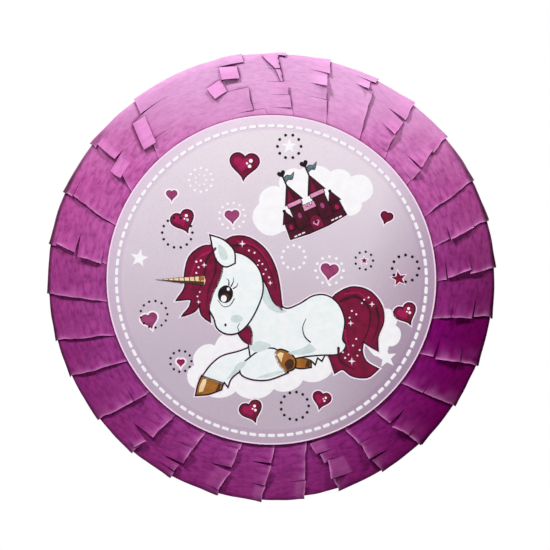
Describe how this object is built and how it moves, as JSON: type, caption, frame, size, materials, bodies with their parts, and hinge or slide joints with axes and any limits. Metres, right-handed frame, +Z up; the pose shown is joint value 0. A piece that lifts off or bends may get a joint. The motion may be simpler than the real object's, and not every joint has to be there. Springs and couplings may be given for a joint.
{
  "type": "drum pinata",
  "caption": "Round flat drum pinata of card, dressed in overlapping fringed crepe-paper strips, with a printed picture disc on its front and a creased fill flap in its back.",
  "frame": {"origin": "where the drum hangs from: midway between its two cord holes, at the top of the crepe", "axes": "+Z up as it hangs, -Y out of the printed picture (front), +Y out of the back, +X to the right seen from the front; the drum's axis lies along Y at z = -0.200 m"},
  "size_m": [0.4, 0.1, 0.4],
  "materials": {
    "crepe": "matte",
    "card": "matte",
    "paper_tape": "matte",
    "picture_card": "satin",
    "cover_card": "matte"
  },
  "bodies": {
    "shell": {"front_panel": "card", "back_panel": "card", "side_band_upper": "card", "side_band_lower": "card", "hanger_plate": "card", "splice_left": "card", "splice_right": "card", "front_rim_tape": "paper_tape", "back_rim_tape": "paper_tape", "picture_disc": "picture_card", "back_cover": "cover_card", "crepe_crown": "crepe", "crepe_right_02": "crepe", "crepe_right_03": "crepe", "crepe_right_04": "crepe", "crepe_right_05": "crepe", "crepe_right_06": "crepe", "crepe_right_07": "crepe", "crepe_right_08": "crepe", "crepe_right_09": "crepe", "crepe_right_10": "crepe", "crepe_right_11": "crepe", "crepe_right_12": "crepe", "crepe_right_13": "crepe", "crepe_right_14": "crepe", "crepe_right_15": "crepe", "crepe_left_02": "crepe", "crepe_left_03": "crepe", "crepe_left_04": "crepe", "crepe_left_05": "crepe", "crepe_left_06": "crepe", "crepe_left_07": "crepe", "crepe_left_08": "crepe", "crepe_left_09": "crepe", "crepe_left_10": "crepe", "crepe_left_11": "crepe", "crepe_left_12": "crepe", "crepe_left_13": "crepe", "crepe_bottom": "crepe"},
    "flap": {"fill_flap": "card"}
  },
  "joints": [
    {"name": "fill_flap_hinge", "type": "hinge", "parent": "shell", "child": "flap", "pos_m": [0, 0.0469, -0.14], "axis": [1, 0, 0], "range_deg": [0, 110]}
  ]
}
